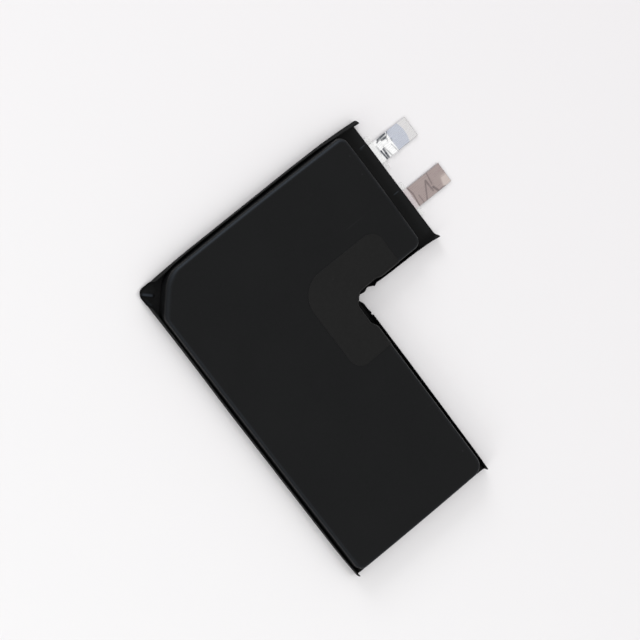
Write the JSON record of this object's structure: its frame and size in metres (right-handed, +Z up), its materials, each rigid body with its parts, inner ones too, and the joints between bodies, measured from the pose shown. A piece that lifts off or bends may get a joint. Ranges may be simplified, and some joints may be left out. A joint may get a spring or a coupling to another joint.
{
  "type": "mobile phone battery",
  "caption": "L-shaped lithium-polymer pouch cell of a mobile phone: black film pouch with folded side seals, flat terrace, bare metal tabs in sealing film and a film patch at its inner corner",
  "frame": {"origin": "middle of the overall box, at the underside", "axes": "+X along the short leg of the L towards the tabs, +Y along the long leg away from its folded end, +Z up through the thickness, with the drawn cup's face on top"},
  "size_m": [0.0702, 0.0798, 0.0043],
  "materials": {
    "pouch_film": "black laminated aluminium film, satin, with a fine grain and rubbed ridges",
    "patch_film": "thin matt black adhesive film",
    "aluminium_strip": "thin rolled strip, crumpled near its root",
    "nickel_strip": "thin rolled nickel strip, warm grey, creased",
    "sealing_film": "translucent white polypropylene"
  },
  "bodies": {
    "root": {"pouch": "pouch_film", "corner_patch": "patch_film", "positive_tab": "aluminium_strip", "negative_tab": "nickel_strip", "positive_tab_film": "sealing_film", "negative_tab_film": "sealing_film"}
  },
  "joints": []
}
